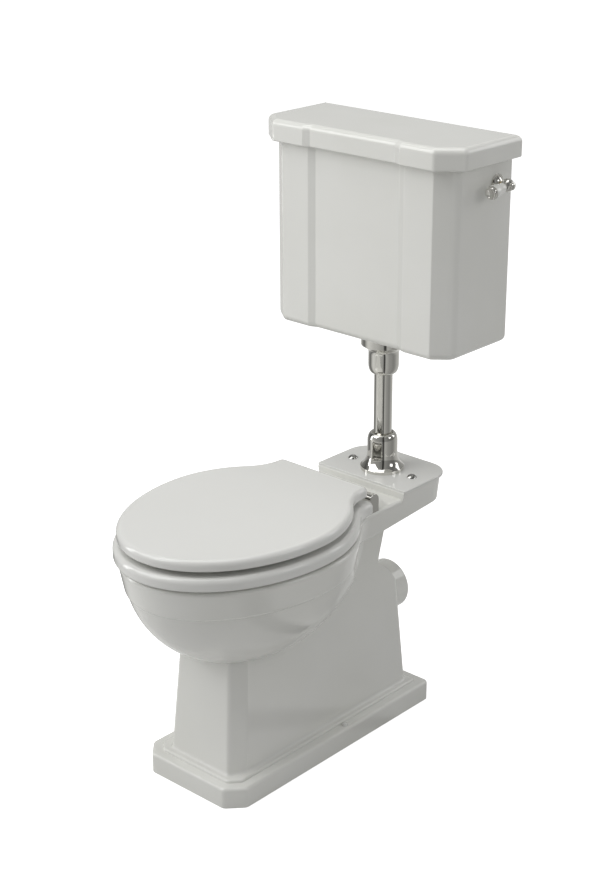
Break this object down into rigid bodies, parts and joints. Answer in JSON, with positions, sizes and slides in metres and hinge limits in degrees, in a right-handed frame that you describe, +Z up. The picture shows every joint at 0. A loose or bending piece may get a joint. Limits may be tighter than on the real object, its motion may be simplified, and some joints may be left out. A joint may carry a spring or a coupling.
{
  "type": "toilet",
  "caption": "China toilet with a panelled wall cistern on a short chrome flush pipe, a stepped pedestal pan, a hinged seat and lid, and a side flush lever.",
  "frame": {"origin": "on the floor, at the centre of the pan's foot", "axes": "+Z up; -Y towards the front of the bowl; the wall is on the +Y side; +X to the right of somebody who faces the toilet"},
  "size_m": [0.483, 0.732, 1.128],
  "materials": {
    "glaze": "gloss glaze, warm off-white",
    "seat_white": "polished, white",
    "chrome": "polished chrome",
    "brass": "plain turned brass",
    "steel": "zinc plated",
    "buffer_rubber": "pale rubber",
    "seal_rubber": "black rubber",
    "valve_plastic": "moulded plastic"
  },
  "bodies": {
    "root": {"pan": "glaze", "floor_screws": "steel", "floor_screw_caps": "seat_white", "cover_plate": "seat_white", "cover_plate_screws": "chrome", "flush_pipe": "chrome", "flush_cone": "seal_rubber", "pipe_bell": "chrome", "cup_nut": "chrome", "pipe_seal": "seal_rubber", "top_bell": "chrome", "cistern_body": "glaze", "flush_valve_base": "valve_plastic", "valve_seal_washer": "seal_rubber", "valve_back_nut": "valve_plastic", "flush_valve_tower": "valve_plastic", "cap_spring": "steel", "lever_rosette": "chrome", "lever_bush": "brass", "lever_bush_nut": "brass", "fill_valve_body": "brass", "fill_valve_washer": "seal_rubber", "fill_valve_nut": "brass", "float_arm_pin": "brass", "hinge_rod": "chrome", "hinge_pillars": "chrome", "hinge_studs": "steel", "hinge_bushes": "buffer_rubber"},
    "seat_ring": {"seat_ring": "seat_white", "ring_buffers": "buffer_rubber", "ring_straps": "chrome", "ring_strap_screws": "chrome"},
    "seat_lid": {"seat_lid": "seat_white", "lid_buffers": "buffer_rubber", "lid_straps": "chrome", "lid_strap_screws": "chrome"},
    "flush_lever": {"lever_spindle": "brass", "lever_knuckle": "chrome", "spindle_nut": "chrome", "handle_rod": "chrome", "lever_handle": "glaze", "lever_handle_cap": "chrome", "lever_crank": "brass", "crank_screw": "steel"},
    "push_cap": {"push_cap": "valve_plastic"},
    "overflow": {"overflow_tube": "valve_plastic"},
    "float": {"float_arm": "valve_plastic", "float": "valve_plastic"},
    "piston": {"fill_valve_piston": "brass"},
    "cistern_lid": {"cistern_lid": "glaze"}
  },
  "joints": [
    {"name": "seat_ring_hinge", "type": "hinge", "parent": "root", "child": "seat_ring", "pos_m": [0, 0.121, 0.471], "axis": [-1, 0, 0], "range_deg": [0, 92]},
    {"name": "seat_lid_hinge", "type": "hinge", "parent": "seat_ring", "child": "seat_lid", "pos_m": [0, 0.121, 0.471], "axis": [1, 0, 0], "range_deg": [-92, 0]},
    {"name": "flush_lever", "type": "hinge", "parent": "root", "child": "flush_lever", "pos_m": [0, 0.314, 1.046], "axis": [1, 0, 0], "range_deg": [0, 12], "stiffness_Nm_per_rad": 1.2, "springref_deg": -8.59},
    {"name": "push_cap_slide", "type": "slide", "parent": "root", "child": "push_cap", "axis": [0, 0, -1], "range_m": [0, 0.0103], "deforming": ["cap_spring"]},
    {"name": "valve_lift", "type": "slide", "parent": "root", "child": "overflow", "axis": [0, 0, 1], "range_m": [0, 0.016]},
    {"name": "float_arm_hinge", "type": "hinge", "parent": "root", "child": "float", "pos_m": [-0.152, 0.265, 1.027], "axis": [0, 1, 0], "range_deg": [0, 35]},
    {"name": "piston_slide", "type": "slide", "parent": "root", "child": "piston", "axis": [1, 0, 0], "range_m": [0, 0.0016]},
    {"name": "cistern_lid_lift", "type": "slide", "parent": "root", "child": "cistern_lid", "axis": [0, 0, 1], "range_m": [0, 0.12]}
  ],
  "couplings": [
    {"joint": "push_cap_slide", "follows": "flush_lever", "m_per_rad": 0.049},
    {"joint": "valve_lift", "follows": "flush_lever", "m_per_rad": 0.0716},
    {"joint": "piston_slide", "follows": "float_arm_hinge", "m_per_rad": 0.0025}
  ]
}
